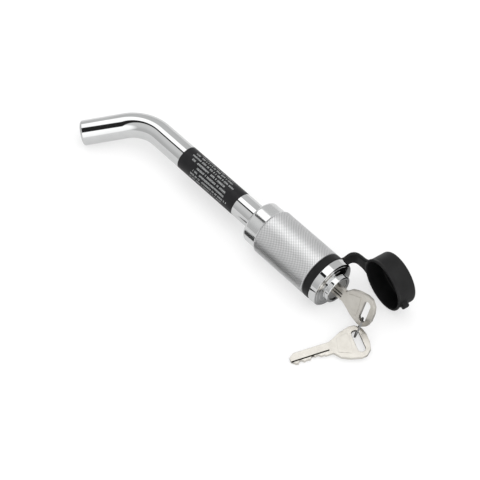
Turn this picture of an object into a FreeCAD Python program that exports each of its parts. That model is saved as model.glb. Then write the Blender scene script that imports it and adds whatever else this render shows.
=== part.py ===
"""Hitch pin lock: a bent steel pin with a keyed, knurled locking head.

Units are millimetres. The origin is on the pin's axis at the flat front face of
the head's collar, where the pin enters. +X runs along the pin towards the
keyhole, +Z is up, and everything lies on the plane z = -head_radius.
"""
import FreeCAD, Part
import math
import os

from FreeCAD import Placement, Rotation, Vector

X_AXIS = Vector(1, 0, 0)
Y_AXIS = Vector(0, 1, 0)
Z_AXIS = Vector(0, 0, 1)
ORIGIN = Vector(0, 0, 0)

# Pin: five eighths of an inch, bent at the far end so it cannot pull through
pin_radius = 7.9375
bend_start = -89.1
bend_radius = 28.4
bend_angle = 52.3
bend_roll = -166.9        # turns the bend until its tip touches the resting plane
bent_length = 27.2
tip_chamfer = 1.0
pin_end = 27.5
lock_end_radius = 7.75    # the stretch inside the head is ground a little smaller
end_chamfer = 1.4
label_start = -64.7
label_end = -16.0
label_thickness = 0.2     # the label lies flush in a shallow recess

# Head: collar, knurled barrel, rubber ring, flange and boss
head_radius = 15.2
collar_radius = 14.08
collar_length = 10.4
collar_round = 2.2
knurl_start = 11.0
knurl_chamfer = 0.6
barrel_end = 52.3
flange_start = 57.7
flange_face = 64.3
flange_front_radius = 14.75      # its side tapers a little
flange_round = 1.8
boss_radius = 9.2
boss_face = 67.6
boss_chamfer = 0.5
ring_floor = 12.3
ring_crown = 15.1
pin_bore = 7.83           # barrel and cage run on the pin's lock end
mouth_chamfer = 0.6
barrel_bore = 13.6
barrel_bore_start = 13.0
fit_gap = 0.04            # radial gap of a fixed fit
run_gap = 0.06            # radial gap of a running fit

# Seals, each in its gland, given as (start, end, depth radius)
mouth_gland = (3.0, 5.6, 10.0)
mouth_seal_wire = 1.1
housing_gland = (46.8, 49.2, 12.0)
housing_seal_wire = 0.74
plug_gland = (63.3, 64.7, 5.45)
plug_seal_wire = 0.45

# Snap ring that holds the housing in the barrel
snap_start = 41.0
snap_end = 42.3
snap_inner = 12.7
snap_outer = 14.3
snap_gap = 0.1

# Locking balls, their cage and the cam cup that pushes them in
ball_radius = 2.38125
ball_x = 22.5
ball_out = 10.4           # ball centre when unlocked
ball_in = 8.5             # ball centre in the pin's groove
ball_gap = 0.05
cage_flange_end = 16.0
cage_radius = 10.7
cage_end = 27.2
dowel_radius = 1.0
dowel_height = 11.6       # from the axis
dowel_reach = 4.0         # depth of its hole each side of the joint
dowel_gap = 0.03
cup_start = 16.2
cup_web = 29.2
cup_end = 32.0
cam_dwell = 16.0          # degrees of constant radius at each end of a ramp
quarter_turn = 90.0

# Lock cylinder
key_roll = 70.0           # key plane, measured from +Y towards +Z
housing_start = 38.0
race_start = 49.2
race_end = 62.0
race_reach = 7.7          # the wafers' ends stand out into the races
guard_radius = 1.0
guard_circle = 9.8        # radius of the circle that the anti-drill pins stand on
guard_length = 21.5
guard_angles = (25, 205)
plug_radius = 6.35
plug_start = 34.6
plug_face = 66.8
plug_head_radius = 7.2
plug_head_start = 65.2
keyway_end = 47.6
keyway_height = 8.1
keyway_width = 2.5
clip_start = 36.85
clip_end = 37.85
clip_floor = 5.4
clip_outer = 7.8
clip_opening = 5.2
wafer_count = 5
wafer_first = 50.2
wafer_pitch = 2.6
wafer_thickness = 1.0
wafer_width = 8.0
wafer_trim = 6.25
window_height = 8.0
window_width = 2.5
spring_radius = 0.38
spring_wire = 0.11
spring_pitch = 0.62
slot_gap = 0.05
lug_width = 1.5
lug_height = 0.8
lug_base = 2.45
tang_width = 3.0
tang_height = 10.0
tang_start = 29.7
tail_radius = 5.6
screw_radius = 1.5
screw_head_radius = 2.6
screw_start = 27.95
screw_end = 42.0
driver_width = 0.7
driver_depth = 0.65

# Keys
key_thickness = 2.2
key_length = 47.0
blade_half = 3.85
bow_start = 24.8
bow_mid = -1.4            # the bow sits a little to the side of the blade
bow_outline = [(28.0, 6.7), (32.8, 9.2), (39.0, 10.95), (42.5, 10.6), (45.8, 7.5),
               (47.0, 3.0)]                # distance from the tip, half width
bow_round = 2.2
bitting = [(2.4, -3.1), (3.8, -3.5), (4.9, -1.95), (6.0, -1.95), (7.5, -3.3), (8.6, -2.9),
           (9.8, -2.9), (11.0, -3.3), (12.4, -1.75), (13.5, -1.75), (14.3, -2.5),
           (15.1, -2.05), (16.3, -2.05), (17.8, -3.5), (18.5, -3.2), (19.3, -3.2), (20.2, -3.85)]
groove_width = 0.8
groove_depth = 0.45
grooves = {1: [-1.45], -1: [-0.4, 1.6]}    # mid heights of the milled grooves on each face
groove_end = 23.3
bow_slot_u = 41.0
bow_slot_width = 4.6
bow_slot_length = 15.2
key_tip = 48.2            # the tip of the key that stands in the lock
spare_tip = (77.51, -47.37)
spare_heading = 66.0
spare_pitch = 3.19        # the ring under its bow lifts it off the resting plane

# Split ring through both bows
ring_mean = 6.0
ring_wire = 0.9
ring_height = 1.5
ring_normal = Vector(0.866, 0.440, -0.237)
ring_centre = Vector(90.12, -5.16, -8.50)

# Rubber cap on its strap
cap_radius = 16.7
cap_wall = 1.35
cap_depth = 13.0
cap_end = 1.6
cap_round = 1.5
cap_mouth = Vector(82.87, 20.05, cap_radius - head_radius)
cap_heading = -100.0      # the way the mouth faces, measured from +X towards +Y
lip_width = 1.6
lip_height = 0.45
tab_angle = -9.0
tab_reach = 2.5
tab_width = 4.2
tab_length = 4.0
tab_start = 2.4
strap_thickness = 2.0
strap_width = 9.0
strap_x = 55.9
strap_y = 24.2
strap_turn = 4.6


def turned(profile):
    """A solid turned about the pin's axis from (x, radius) points."""
    points = [Vector(x, r, 0) for x, r in profile]
    face = Part.Face(Part.makePolygon(points + [points[0]]))
    return face.revolve(ORIGIN, X_AXIS, 360)


def tube(start, end, inner, outer):
    return turned([(start, inner), (end, inner), (end, outer), (start, outer)])


def rod(start, end, radius):
    return Part.makeCylinder(radius, end - start, Vector(start, 0, 0), X_AXIS)


def o_ring(x, major, minor):
    return Part.makeTorus(major, minor, Vector(x, 0, 0), X_AXIS)


def round_rim(shape, x, radius, size, chamfer=False):
    """Round or chamfer the circular edges that lie at x with the given radius."""
    rims = []
    for edge in shape.Edges:
        curve = edge.Curve
        if isinstance(curve, Part.Circle) and abs(curve.Radius - radius) < 1e-6:
            if abs(curve.Center.x - x) < 1e-6:
                rims.append(edge)
    if chamfer:
        return shape.makeChamfer(size, rims)
    return shape.makeFillet(size, rims)


def block(x, y, z):
    """A box from (low, high) pairs."""
    corner = Vector(x[0], y[0], z[0])
    return Part.makeBox(x[1] - x[0], y[1] - y[0], z[1] - z[0], corner)


def rolled(shape, degrees):
    """The shape turned about the pin's axis."""
    shape = shape.copy()
    shape.rotate(ORIGIN, X_AXIS, degrees)
    return shape


def pin_shaft():
    roll = math.radians(bend_roll)
    turn = math.radians(bend_angle)
    side = Vector(0, math.cos(roll), math.sin(roll))
    start = Vector(bend_start, 0, 0)

    def arc_point(angle):
        return start - X_AXIS * bend_radius * math.sin(angle) + side * bend_radius * (1 - math.cos(angle))

    bend_end = arc_point(turn)
    direction = -X_AXIS * math.cos(turn) + side * math.sin(turn)
    section = Part.Face(Part.Wire(Part.makeCircle(pin_radius, start, X_AXIS)))
    centre = start + side * bend_radius
    elbow = section.revolve(centre, X_AXIS.cross(side) * -1, bend_angle)
    if elbow.BoundBox.XMax > bend_start + 1:
        elbow = section.revolve(centre, X_AXIS.cross(side), bend_angle)
    arm = Part.makeCylinder(pin_radius, bent_length - tip_chamfer, bend_end, direction)
    tip_base = bend_end + direction * (bent_length - tip_chamfer)
    tip = Part.makeCone(pin_radius, pin_radius - tip_chamfer, tip_chamfer, tip_base, direction)
    recess = pin_radius - label_thickness
    straight = turned([(bend_start, 0), (pin_end, 0), (pin_end, lock_end_radius - end_chamfer),
                       (pin_end - end_chamfer, lock_end_radius), (0, lock_end_radius),
                       (0, pin_radius), (label_end, pin_radius), (label_end, recess),
                       (label_start, recess), (label_start, pin_radius), (bend_start, pin_radius)])
    shaft = straight.fuse([elbow, arm, tip]).removeSplitter()
    groove = o_ring(ball_x, ball_in, ball_radius + ball_gap)
    return shaft.cut(groove)


def pin_label():
    return tube(label_start, label_end, pin_radius - label_thickness, pin_radius)


def seal(gland, inside, wire):
    """An O-ring in the middle of its gland, its inner side at the given radius."""
    gland_start, gland_end, _ = gland
    return o_ring((gland_start + gland_end) / 2, inside + wire, wire)


def dowel_rod(start, length, radius):
    return Part.makeCylinder(radius, length, Vector(start, 0, dowel_height), X_AXIS)


def head_barrel():
    body = turned([(0, pin_bore), (0, collar_radius), (collar_length, collar_radius),
                   (knurl_start, head_radius - knurl_chamfer), (knurl_start + knurl_chamfer, head_radius),
                   (barrel_end - knurl_chamfer, head_radius), (barrel_end, head_radius - knurl_chamfer),
                   (barrel_end, barrel_bore), (barrel_bore_start, barrel_bore),
                   (barrel_bore_start, pin_bore)])
    body = round_rim(body, 0, collar_radius, collar_round)
    body = round_rim(body, 0, pin_bore, mouth_chamfer, chamfer=True)
    gland_start, gland_end, gland_depth = mouth_gland
    body = body.cut(tube(gland_start, gland_end, pin_bore - 1, gland_depth))
    body = body.cut(tube(snap_start, snap_end, barrel_bore - 1, snap_outer))
    return body.cut(dowel_rod(barrel_bore_start - dowel_reach, dowel_reach, dowel_radius))


def mouth_seal():
    return seal(mouth_gland, lock_end_radius + 0.03, mouth_seal_wire)


def ball_cage():
    cage = turned([(barrel_bore_start, pin_bore), (barrel_bore_start, barrel_bore - fit_gap),
                   (cage_flange_end, barrel_bore - fit_gap), (cage_flange_end, cage_radius),
                   (cage_end, cage_radius), (cage_end, pin_bore)])
    for side in (1, -1):
        window = Part.makeCylinder(ball_radius + ball_gap, 14.0, Vector(ball_x, 0, 0), Y_AXIS * side)
        cage = cage.cut(window)
    return cage.cut(dowel_rod(barrel_bore_start - 0.1, dowel_reach, dowel_radius))


def cage_dowel():
    length = cage_flange_end - barrel_bore_start + dowel_reach - 0.4
    return dowel_rod(barrel_bore_start - dowel_reach + 0.2, length, dowel_radius - dowel_gap)


def locking_ball(side):
    return Part.makeSphere(ball_radius, Vector(ball_x, side * ball_out, 0))


def cam_radius(angle):
    """Radius of the cup's cam at an angle, in degrees; it repeats every half turn."""
    angle = (angle + cam_dwell) % 180 - cam_dwell
    if angle > quarter_turn + cam_dwell:
        back = (angle - quarter_turn - cam_dwell) / (180 - quarter_turn - 2 * cam_dwell)
        share = 1 - back
    else:
        share = min(max(angle / quarter_turn, 0), 1)
    return ball_out - (ball_out - ball_in) * share + ball_radius + run_gap


def cam_cup():
    points = []
    for step in range(0, 360, 4):
        turn = math.radians(step)
        radius = cam_radius(step)
        points.append(Vector(cup_start - 1, radius * math.cos(turn), radius * math.sin(turn)))
    curve = Part.BSplineCurve()
    curve.interpolate(points, True)
    pocket = Part.Face(Part.Wire(curve.toShape())).extrude(X_AXIS * (cup_web - cup_start + 1))
    cup = rod(cup_start, cup_end, barrel_bore - run_gap).cut(pocket)
    half_w = tang_width / 2 + slot_gap
    half_h = tang_height / 2 + slot_gap
    slot = block((cup_web - 1, cup_end + 1), (-half_h, half_h), (-half_w, half_w))
    head_room = rod(cup_web - 1, tang_start + 0.1, screw_head_radius + 0.2)
    return cup.cut([rolled(slot, key_roll), head_room])


def drive_tail():
    disc = rod(cup_end + 0.3, plug_start - 0.02, tail_radius)
    half_w = tang_width / 2
    half_h = tang_height / 2
    tang = block((tang_start, cup_end + 0.4), (-half_h, half_h), (-half_w, half_w))
    tail = disc.fuse(rolled(tang, key_roll)).removeSplitter()
    return tail.cut(rod(tang_start - 1, plug_start + 1, screw_radius + slot_gap))


def tail_screw():
    head = rod(screw_start, tang_start - 0.02, screw_head_radius)
    head = round_rim(head, screw_start, screw_head_radius, 0.5)
    half = driver_width / 2
    slot = block((screw_start - 0.1, screw_start + driver_depth), (-3, 3), (-half, half))
    return head.fuse(rod(tang_start - 0.1, screw_end, screw_radius)).removeSplitter().cut(slot)


def guard_rod(start, length, radius):
    return Part.makeCylinder(radius, length, Vector(start, 0, guard_circle), X_AXIS)


def lock_housing():
    body = turned([(housing_start, plug_radius + run_gap), (housing_start, barrel_bore - fit_gap),
                   (barrel_end, barrel_bore - fit_gap), (barrel_end, ring_floor),
                   (flange_start, ring_floor), (flange_start, head_radius),
                   (flange_face, flange_front_radius), (flange_face, boss_radius),
                   (boss_face, boss_radius), (boss_face, plug_head_radius + run_gap),
                   (plug_head_start, plug_head_radius + run_gap),
                   (plug_head_start, plug_radius + run_gap)])
    body = round_rim(body, flange_face, flange_front_radius, flange_round)
    body = round_rim(body, flange_start, head_radius, 0.5)
    body = round_rim(body, boss_face, boss_radius, boss_chamfer)
    body = body.cut(tube(snap_start, snap_end, snap_inner, barrel_bore + 1))
    gland_start, gland_end, gland_depth = housing_gland
    body = body.cut(tube(gland_start, gland_end, gland_depth, barrel_bore + 1))
    for angle in (0, quarter_turn):
        half = wafer_width / 2 + 0.1
        race = block((race_start, race_end), (-race_reach, race_reach), (-half, half))
        body = body.cut(rolled(race, key_roll + angle))
    for angle in guard_angles:
        hole = guard_rod(housing_start - 1, guard_length + 2.5, guard_radius + slot_gap)
        body = body.cut(rolled(hole, angle))
    return body


def anti_drill_pins():
    rod_in_place = guard_rod(housing_start + 1.5, guard_length, guard_radius)
    return Part.makeCompound([rolled(rod_in_place, angle) for angle in guard_angles])


def housing_snap_ring():
    ring = tube(snap_start + snap_gap, snap_end - snap_gap, snap_inner + snap_gap, snap_outer - snap_gap)
    return ring.cut(block((snap_start - 1, snap_end + 1), (-1.5, 1.5), (snap_inner - 2, snap_outer + 2)))


def housing_seal():
    return seal(housing_gland, housing_gland[2] + 0.06, housing_seal_wire)


def wafer_x(index):
    return wafer_first + wafer_pitch * index


def lock_plug():
    step = plug_head_start + 0.05
    body = turned([(plug_start, 0), (plug_start, plug_radius), (step, plug_radius),
                   (step, plug_head_radius), (plug_face, plug_head_radius), (plug_face, 0)])
    body = round_rim(body, plug_face, plug_head_radius, 0.3)
    body = body.cut(tube(clip_start, clip_end, clip_floor, plug_radius + 1))
    gland_start, gland_end, gland_depth = plug_gland
    body = body.cut(tube(gland_start, gland_end, gland_depth, plug_radius + 1))
    half_h = keyway_height / 2
    half_w = keyway_width / 2
    keyway = block((keyway_end, plug_face + 1), (-half_h, half_h), (-half_w, half_w))
    cuts_in_plug = [keyway]
    for index in range(wafer_count):
        half_t = wafer_thickness / 2 + slot_gap
        span = (wafer_x(index) - half_t, wafer_x(index) + half_t)
        half = wafer_width / 2 + slot_gap
        cuts_in_plug.append(block(span, (-8, 8), (-half, half)))
        lug_top = wafer_width / 2 + lug_width + slot_gap
        cuts_in_plug.append(block(span, (-lug_base - 0.1, lug_base + lug_height + 0.1), (0, lug_top)))
    body = body.cut([rolled(cut, key_roll) for cut in cuts_in_plug])
    return body.cut(rod(plug_start - 1, screw_end + 0.5, screw_radius + 0.02))


def plug_clip():
    clip = tube(clip_start + 0.1, clip_end - 0.05, clip_floor + 0.1, clip_outer)
    opening = block((clip_start, clip_end), (0, clip_outer + 1), (-clip_opening / 2, clip_opening / 2))
    return clip.cut(rolled(opening, key_roll + 180))


def plug_seal():
    return seal(plug_gland, plug_gland[2] + 0.02, plug_seal_wire)


def wafer(index):
    """One wafer tumbler: a plate with a window that the blade passes through."""
    half_t = wafer_thickness / 2
    span = (wafer_x(index) - half_t, wafer_x(index) + half_t)
    plate = block(span, (-8, 8), (-wafer_width / 2, wafer_width / 2))
    lug = block(span, (lug_base, lug_base + lug_height), (0, wafer_width / 2 + lug_width))
    body = plate.fuse(lug).common(rod(span[0] - 1, span[1] + 1, wafer_trim)).removeSplitter()
    half_h = window_height / 2
    half_w = window_width / 2
    window = block((span[0] - 1, span[1] + 1), (-half_h, half_h), (-half_w, half_w))
    return rolled(body.cut(window), key_roll)


def wafer_springs():
    springs = []
    length = 2 * lug_base - 2 * spring_wire - 0.06
    for index in range(wafer_count):
        helix = Part.makeHelix(spring_pitch, length, spring_radius)
        section = Part.Wire(Part.makeCircle(spring_wire, Vector(spring_radius, 0, 0), Y_AXIS))
        spring = Part.Wire(helix.Edges).makePipeShell([section], True, True)
        base = Vector(wafer_x(index), -length / 2, wafer_width / 2 + 0.85)
        spring.Placement = Placement(base, Rotation(X_AXIS, -90))
        springs.append(rolled(spring, key_roll))
    return Part.makeCompound(springs)


def tether_ring():
    ring = tube(barrel_end + 0.04, flange_start - 0.04, ring_floor + 0.02, ring_crown)
    ring = round_rim(ring, barrel_end + 0.04, ring_crown, 0.8)
    return round_rim(ring, flange_start - 0.04, ring_crown, 0.8)


def cap_place():
    """From the cap's own frame, mouth at x = 0 and end at x = depth, to its open place."""
    return Placement(cap_mouth, Rotation(Z_AXIS, cap_heading + 180))


def dust_cap():
    cup = rod(0, cap_depth, cap_radius - lip_height)
    cup = round_rim(cup, cap_depth, cap_radius - lip_height, cap_round)
    lip = tube(0, lip_width, cap_radius - 1, cap_radius)
    tab = block((tab_start, tab_start + tab_length), (-tab_width / 2, tab_width / 2),
                (cap_radius - 1.0, cap_radius + tab_reach - 0.4))
    corners = [edge for edge in tab.Edges if abs(edge.tangentAt(edge.FirstParameter).x) > 0.99
               and edge.CenterOfMass.z > cap_radius]
    tab = rolled(tab.makeFillet(1.2, corners), 90 - tab_angle)
    cup = cup.fuse([lip, tab]).removeSplitter()
    cup = cup.cut(rod(-1, cap_depth - cap_end, cap_radius - cap_wall - 0.05))
    cup.Placement = cap_place()
    return cup


def cap_strap():
    """The flexible strap, from the rubber ring round to the cap's wall."""
    half = strap_thickness / 2
    low = Vector(strap_x, ring_crown - 3, 0)
    arc_start = Vector(strap_x, strap_y - strap_turn, 0)
    centre = Vector(strap_x + strap_turn, strap_y - strap_turn, 0)
    diagonal = Vector(-math.sqrt(0.5), math.sqrt(0.5), 0)
    end = Vector(70, strap_y, 0)
    edges = []
    for offset in (half, -half):
        shift = Vector(-offset, 0, 0)
        lift = Vector(0, offset, 0)
        top = centre + Vector(0, strap_turn, 0) + lift
        edges.append([Part.LineSegment(low + shift, arc_start + shift).toShape(),
                      Part.Arc(arc_start + shift, centre + diagonal * (strap_turn + offset), top).toShape(),
                      Part.LineSegment(top, end + lift).toShape()])
    lids = [Part.LineSegment(low + Vector(-half, 0, 0), low + Vector(half, 0, 0)).toShape(),
            Part.LineSegment(end + Vector(0, half, 0), end - Vector(0, half, 0)).toShape()]
    outline = Part.Wire(Part.__sortEdges__(edges[0] + edges[1] + lids))
    strap = Part.Face(outline).extrude(Z_AXIS * strap_width)
    strap.translate(Vector(0, 0, -strap_width / 2))
    strap = strap.cut(rod(50, 60, ring_crown + 0.02))
    wall = rod(-5, cap_depth + 5, cap_radius - lip_height + 0.02)
    wall.Placement = cap_place()
    lip = rod(-5, lip_width + 0.05, cap_radius + 0.02)
    lip.Placement = cap_place()
    return strap.cut([wall, lip])


def key_outline():
    """Corner points of a flat key, tip at x = 0 and bow at +X."""
    lower = [(0.0, -0.9)] + bitting + [(bow_start, -blade_half)]
    upper = [(bow_start, blade_half), (3.0, blade_half), (0.0, 1.6)]
    bow_low = [(u, bow_mid - half) for u, half in bow_outline]
    bow_high = [(u, bow_mid + half) for u, half in bow_outline]
    return lower + bow_low + bow_high[::-1] + upper


def flat_key():
    """A key lying in the XY plane, its mid thickness at z = 0."""
    points = [Vector(u, v, 0) for u, v in key_outline()]
    key = Part.Face(Part.makePolygon(points + [points[0]])).extrude(Z_AXIS * key_thickness)
    key.translate(Vector(0, 0, -key_thickness / 2))
    corners = [edge for edge in key.Edges if abs(edge.tangentAt(edge.FirstParameter).z) > 0.99
               and edge.CenterOfMass.x > bow_start + 1]
    key = key.makeFillet(bow_round, corners)
    half_l = bow_slot_length / 2 - bow_slot_width / 2
    half_w = bow_slot_width / 2
    slot = block((bow_slot_u - half_w, bow_slot_u + half_w), (bow_mid - half_l, bow_mid + half_l), (-3, 3))
    for side in (1, -1):
        end = Part.makeCylinder(half_w, 6, Vector(bow_slot_u, bow_mid + side * half_l, -3), Z_AXIS)
        slot = slot.fuse(end)
    key = key.cut(slot.removeSplitter())
    for face, heights in grooves.items():
        for v in heights:
            surface = face * key_thickness / 2
            groove = block((-1, groove_end), (v - groove_width / 2, v + groove_width / 2),
                           (surface - groove_depth, surface + groove_depth))
            key = key.cut(groove)
    return key


def lock_key():
    key = flat_key()
    key.Placement = Placement(Vector(key_tip, 0, 0), Rotation(X_AXIS, key_roll + 180))
    return key


def spare_key():
    key = flat_key()
    turn = Rotation(Z_AXIS, spare_heading).multiply(Rotation(Y_AXIS, -spare_pitch))
    base = Vector(spare_tip[0], spare_tip[1], key_thickness / 2 - head_radius + 0.02)
    key.Placement = Placement(base, turn)
    return key


def key_ring():
    half_w = ring_wire / 2
    half_h = ring_height / 2
    ring = tube(-half_h, half_h, ring_mean - half_w, ring_mean + half_w)
    for x in (-half_h, half_h):
        ring = round_rim(ring, x, ring_mean + half_w, 0.3)
    ring.Placement = Placement(ring_centre, Rotation(X_AXIS, ring_normal))
    return ring


def make_parts():
    parts = {
        "pin_shaft": pin_shaft(),
        "pin_label": pin_label(),
        "mouth_seal": mouth_seal(),
        "head_barrel": head_barrel(),
        "ball_cage": ball_cage(),
        "cage_dowel": cage_dowel(),
        "locking_ball_1": locking_ball(1),
        "locking_ball_2": locking_ball(-1),
        "cam_cup": cam_cup(),
        "drive_tail": drive_tail(),
        "tail_screw": tail_screw(),
        "lock_housing": lock_housing(),
        "anti_drill_pins": anti_drill_pins(),
        "housing_snap_ring": housing_snap_ring(),
        "housing_seal": housing_seal(),
        "lock_plug": lock_plug(),
        "plug_clip": plug_clip(),
        "plug_seal": plug_seal(),
        "wafer_springs": wafer_springs(),
        "tether_ring": tether_ring(),
        "cap_strap": cap_strap(),
        "dust_cap": dust_cap(),
        "lock_key": lock_key(),
        "spare_key": spare_key(),
        "key_ring": key_ring(),
    }
    for index in range(wafer_count):
        parts[f"wafer_{index + 1}"] = wafer(index)
    return parts


os.makedirs("parts", exist_ok=True)
for node, shape in make_parts().items():
    shape.exportStep(f"parts/{node}.step")
    print(node, shape.isValid(), len(shape.Solids), round(shape.Volume, 1))
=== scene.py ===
import bpy
import bmesh
import math
from mathutils import Matrix, Vector


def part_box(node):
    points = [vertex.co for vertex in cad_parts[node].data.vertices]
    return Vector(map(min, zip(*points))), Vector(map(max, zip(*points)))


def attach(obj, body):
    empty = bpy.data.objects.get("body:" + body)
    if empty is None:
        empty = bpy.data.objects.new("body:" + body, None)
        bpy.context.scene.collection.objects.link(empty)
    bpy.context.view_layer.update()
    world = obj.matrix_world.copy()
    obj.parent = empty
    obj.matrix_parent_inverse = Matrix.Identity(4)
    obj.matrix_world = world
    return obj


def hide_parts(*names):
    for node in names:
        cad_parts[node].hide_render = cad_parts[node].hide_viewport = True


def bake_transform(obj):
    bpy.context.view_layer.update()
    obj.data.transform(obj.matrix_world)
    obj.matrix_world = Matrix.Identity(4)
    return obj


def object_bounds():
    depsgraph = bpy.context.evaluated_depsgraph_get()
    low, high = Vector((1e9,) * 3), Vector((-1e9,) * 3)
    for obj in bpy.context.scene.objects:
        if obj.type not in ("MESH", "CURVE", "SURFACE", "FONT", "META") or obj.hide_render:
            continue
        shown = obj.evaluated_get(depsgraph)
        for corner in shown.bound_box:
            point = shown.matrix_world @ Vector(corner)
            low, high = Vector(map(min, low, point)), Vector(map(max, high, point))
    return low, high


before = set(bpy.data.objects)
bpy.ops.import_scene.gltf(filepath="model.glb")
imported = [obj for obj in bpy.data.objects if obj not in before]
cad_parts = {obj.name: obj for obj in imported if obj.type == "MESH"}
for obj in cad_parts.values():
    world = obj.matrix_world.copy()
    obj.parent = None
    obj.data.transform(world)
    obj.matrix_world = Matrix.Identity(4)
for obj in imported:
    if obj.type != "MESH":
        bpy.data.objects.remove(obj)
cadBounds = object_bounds()
mm = 0.001  # pieces are modelled in millimetres and scaled once, when they are finished
print("frame loaded:", len(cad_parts), "nodes")

view = {
    "azimuth": 47.48,  # degrees round the object
    "elevation": 54.52,
    "distance": 1000.0,
    "aim": (11.04, 0.0, 0.0),  # start of the knurl
    "slide": (-18.83, -4.86),  # right and up from the aim
    "lens": 126.4,
    "sensor": 36.0,
}


def viewAxes(azimuth, elevation):
    a = math.radians(azimuth)
    e = math.radians(elevation)
    back = Vector((math.sin(a) * math.cos(e), -math.cos(a) * math.cos(e), math.sin(e)))
    right = Vector((math.cos(a), math.sin(a), 0.0))
    return right, back.cross(right), back


def addCamera():
    right, up, back = viewAxes(view["azimuth"], view["elevation"])
    slideRight, slideUp = view["slide"]
    place = Vector(view["aim"]) + back * view["distance"] + right * slideRight + up * slideUp
    data = bpy.data.cameras.new("camera")
    data.lens = view["lens"]
    data.sensor_width = view["sensor"]
    data.clip_start = 0.05
    camera = bpy.data.objects.new("camera", data)
    turn = Matrix((right, up, back)).transposed().to_4x4()
    camera.matrix_world = Matrix.Translation(place * mm) @ turn
    bpy.context.scene.collection.objects.link(camera)
    bpy.context.scene.camera = camera


def mathNode(tree, operation, first, second=None, third=None):
    node = tree.nodes.new("ShaderNodeMath")
    node.operation = operation
    for socket, value in zip(node.inputs, (first, second, third)):
        if value is None:
            continue
        if isinstance(value, (int, float)):
            socket.default_value = value
        else:
            tree.links.new(value, socket)
    return node.outputs[0]


studio = {
    "surround": 0.84,  # grey walls of the studio
    "overhead": 1.95,  # large soft box above
    "gap": 0.03,  # dark gap between the soft boxes, round the camera
    "front": 0.74,  # grey on the camera's side
    "frontGlow": 1.0,  # second soft box, low in front
    "nearEdge": (0.3545, 0.875, 0.329),  # planes that bound the overhead box and the gap
    "farEdge": (0.148, -0.8275, 0.5414),
    "gapEdge": (0.402, 0.776, 0.486),
    "glowAim": (0.545, -0.69, 0.475),
    "softness": 0.03,
}


def addWorld():
    world = bpy.data.worlds.new("studio")
    world.use_nodes = True
    tree = world.node_tree
    tree.nodes.clear()
    direction = tree.nodes.new("ShaderNodeTexCoord").outputs["Generated"]
    split = tree.nodes.new("ShaderNodeSeparateXYZ")
    background = tree.nodes.new("ShaderNodeBackground")
    output = tree.nodes.new("ShaderNodeOutputWorld")
    tree.links.new(direction, split.inputs[0])

    def side(normal, low, high):
        dot = tree.nodes.new("ShaderNodeVectorMath")
        dot.operation = "DOT_PRODUCT"
        dot.inputs[1].default_value = normal
        tree.links.new(direction, dot.inputs[0])
        return ramp(dot.outputs["Value"], low, high)

    def ramp(value, low, high, start=0.0, end=1.0):
        node = tree.nodes.new("ShaderNodeMapRange")
        node.interpolation_type = "SMOOTHSTEP"
        limits = {"From Min": low, "From Max": high, "To Min": start, "To Max": end}
        for name, number in limits.items():
            node.inputs[name].default_value = number
        tree.links.new(value, node.inputs["Value"])
        return node.outputs["Result"]

    def blendLevel(fac, first, second):
        node = tree.nodes.new("ShaderNodeMix")
        tree.links.new(fac, node.inputs["Factor"])
        for socket, value in ((node.inputs[2], first), (node.inputs[3], second)):
            if isinstance(value, float):
                socket.default_value = value
            else:
                tree.links.new(value, socket)
        return node.outputs[0]

    soft = studio["softness"]
    far = side(studio["farEdge"], 0.0, 2 * soft)
    near = side(studio["nearEdge"], 0.0, soft)
    gap = side(studio["gapEdge"], -soft, 0.0)
    glow = side(studio["glowAim"], math.cos(math.radians(34)), math.cos(math.radians(16)))
    front = ramp(split.outputs["Z"], 0.2, 0.75, studio["front"], 1.0)
    front = mathNode(tree, "MULTIPLY_ADD", glow, studio["frontGlow"], front)
    above = blendLevel(far, studio["surround"], studio["overhead"])
    above = blendLevel(near, studio["gap"], above)
    tree.links.new(blendLevel(gap, front, above), background.inputs["Strength"])
    tree.links.new(background.outputs["Background"], output.inputs["Surface"])
    background.inputs["Color"].default_value = (1.0, 1.0, 1.0, 1.0)
    bpy.context.scene.world = world


addCamera()
addWorld()
bpy.context.scene.view_settings.view_transform = "Standard"
print("camera and light ready")


def newMaterial(name, color, metallic, roughness):
    material = bpy.data.materials.new(name)
    material.use_nodes = True
    shader = material.node_tree.nodes["Principled BSDF"]
    shader.inputs["Base Color"].default_value = (*color, 1.0)
    shader.inputs["Metallic"].default_value = metallic
    shader.inputs["Roughness"].default_value = roughness
    return material, material.node_tree, shader


def addNode(tree, kind, **values):
    node = tree.nodes.new("ShaderNode" + kind)
    for key, value in values.items():
        if key.startswith("in_"):
            node.inputs[key[3:].replace("_", " ")].default_value = value
        else:
            setattr(node, key, value)
    return node


def objectNoise(tree, scale, detail=3.0, stretch=(1.0, 1.0, 1.0)):
    coordinates = addNode(tree, "TexCoord")
    mapping = addNode(tree, "Mapping", in_Scale=stretch)
    noise = addNode(tree, "TexNoise", in_Scale=scale, in_Detail=detail)
    tree.links.new(coordinates.outputs["Object"], mapping.inputs["Vector"])
    tree.links.new(mapping.outputs["Vector"], noise.inputs["Vector"])
    return noise.outputs["Fac"]


def spread(tree, value, low, high, fromLow=0.3, fromHigh=0.7):
    node = addNode(tree, "MapRange")
    node.inputs["From Min"].default_value = fromLow
    node.inputs["From Max"].default_value = fromHigh
    node.inputs["To Min"].default_value = low
    node.inputs["To Max"].default_value = high
    tree.links.new(value, node.inputs["Value"])
    return node.outputs["Result"]


def colorMix(tree, fac, first, second):
    node = addNode(tree, "Mix", data_type="RGBA")
    tree.links.new(fac, node.inputs["Factor"])
    for socket, value in ((node.inputs["A"], first), (node.inputs["B"], second)):
        if isinstance(value, tuple):
            socket.default_value = (*value, 1.0)
        else:
            tree.links.new(value, socket)
    return node.outputs["Result"]


def addBump(tree, shader, height, distance, strength=1.0):
    bump = addNode(tree, "Bump", in_Strength=strength, in_Distance=distance)
    tree.links.new(height, bump.inputs["Height"])
    tree.links.new(bump.outputs["Normal"], shader.inputs["Normal"])


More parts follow.
